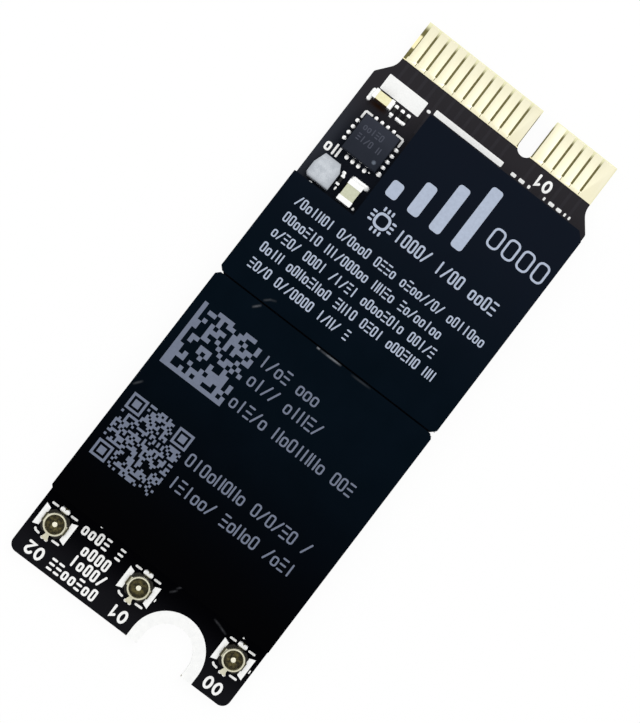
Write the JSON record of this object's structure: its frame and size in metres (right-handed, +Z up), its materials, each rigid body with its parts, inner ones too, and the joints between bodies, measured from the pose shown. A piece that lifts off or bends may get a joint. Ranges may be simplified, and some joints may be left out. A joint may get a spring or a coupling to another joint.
{
  "type": "laptop wireless network card",
  "caption": "Flat plug-in wireless card for a laptop: black circuit board with a gold contact tongue, film-covered shield cans, coaxial antenna sockets and a half-round screw notch.",
  "frame": {"origin": "middle of the card's length and width, on the underside of the board as the card lies flat", "axes": "+X across the card, +Y along it towards the edge contacts, +Z up out of the parts side"},
  "size_m": [0.0232, 0.0572, 0.0022],
  "materials": {
    "board": "satin black solder mask over laminate",
    "contact_gold": "bright pale gold plating",
    "socket_metal": "gold-plated turned metal",
    "socket_plastic": "dark moulded resin",
    "shield_tinplate": "tinned sheet",
    "label_film": "matte black polyester film with pale print",
    "chip_mould": "matte moulded epoxy",
    "tinned_ends": "tinned metal",
    "ceramic": "fired ceramic",
    "resistor_coat": "black glaze",
    "inductor_mould": "grey moulded metal powder"
  },
  "bodies": {
    "root": {"antenna_filter_1": "ceramic", "antenna_filter_2": "ceramic", "antenna_filter_3": "ceramic", "antenna_socket_1_insulator": "socket_plastic", "antenna_socket_1_pin": "socket_metal", "antenna_socket_1_shell": "socket_metal", "antenna_socket_2_insulator": "socket_plastic", "antenna_socket_2_pin": "socket_metal", "antenna_socket_2_shell": "socket_metal", "antenna_socket_3_insulator": "socket_plastic", "antenna_socket_3_pin": "socket_metal", "antenna_socket_3_shell": "socket_metal", "bypass_capacitors": "ceramic", "chip_resistor_1_body": "resistor_coat", "chip_resistor_1_ends": "tinned_ends", "chip_resistor_2_body": "resistor_coat", "chip_resistor_2_ends": "tinned_ends", "chip_resistor_3_body": "resistor_coat", "chip_resistor_3_ends": "tinned_ends", "chip_resistor_4_body": "resistor_coat", "chip_resistor_4_ends": "tinned_ends", "circuit_board": "board", "contact_finger_01": "contact_gold", "contact_finger_02": "contact_gold", "contact_finger_03": "contact_gold", "contact_finger_04": "contact_gold", "contact_finger_05": "contact_gold", "contact_finger_06": "contact_gold", "contact_finger_07": "contact_gold", "contact_finger_08": "contact_gold", "contact_finger_09": "contact_gold", "contact_finger_10": "contact_gold", "contact_finger_11": "contact_gold", "contact_finger_12": "contact_gold", "contact_finger_13": "contact_gold", "contact_finger_14": "contact_gold", "contact_finger_15": "contact_gold", "contact_finger_16": "contact_gold", "contact_finger_17": "contact_gold", "contact_finger_18": "contact_gold", "control_chip_body": "chip_mould", "control_chip_leads": "tinned_ends", "front_end_module_1": "chip_mould", "front_end_module_2": "chip_mould", "front_end_module_3": "chip_mould", "front_label_film": "label_film", "front_shield_can": "shield_tinplate", "large_capacitor_body": "ceramic", "large_capacitor_ends": "tinned_ends", "memory_chip": "chip_mould", "power_inductor_body": "inductor_mould", "power_inductor_clips": "tinned_ends", "radio_processor": "chip_mould", "rear_label_film": "label_film", "rear_shield_can": "shield_tinplate", "reference_crystal": "shield_tinplate", "screw_notch_pad": "tinned_ends", "short_range_radio": "chip_mould", "small_capacitor_body": "ceramic", "small_capacitor_ends": "tinned_ends"}
  },
  "joints": []
}
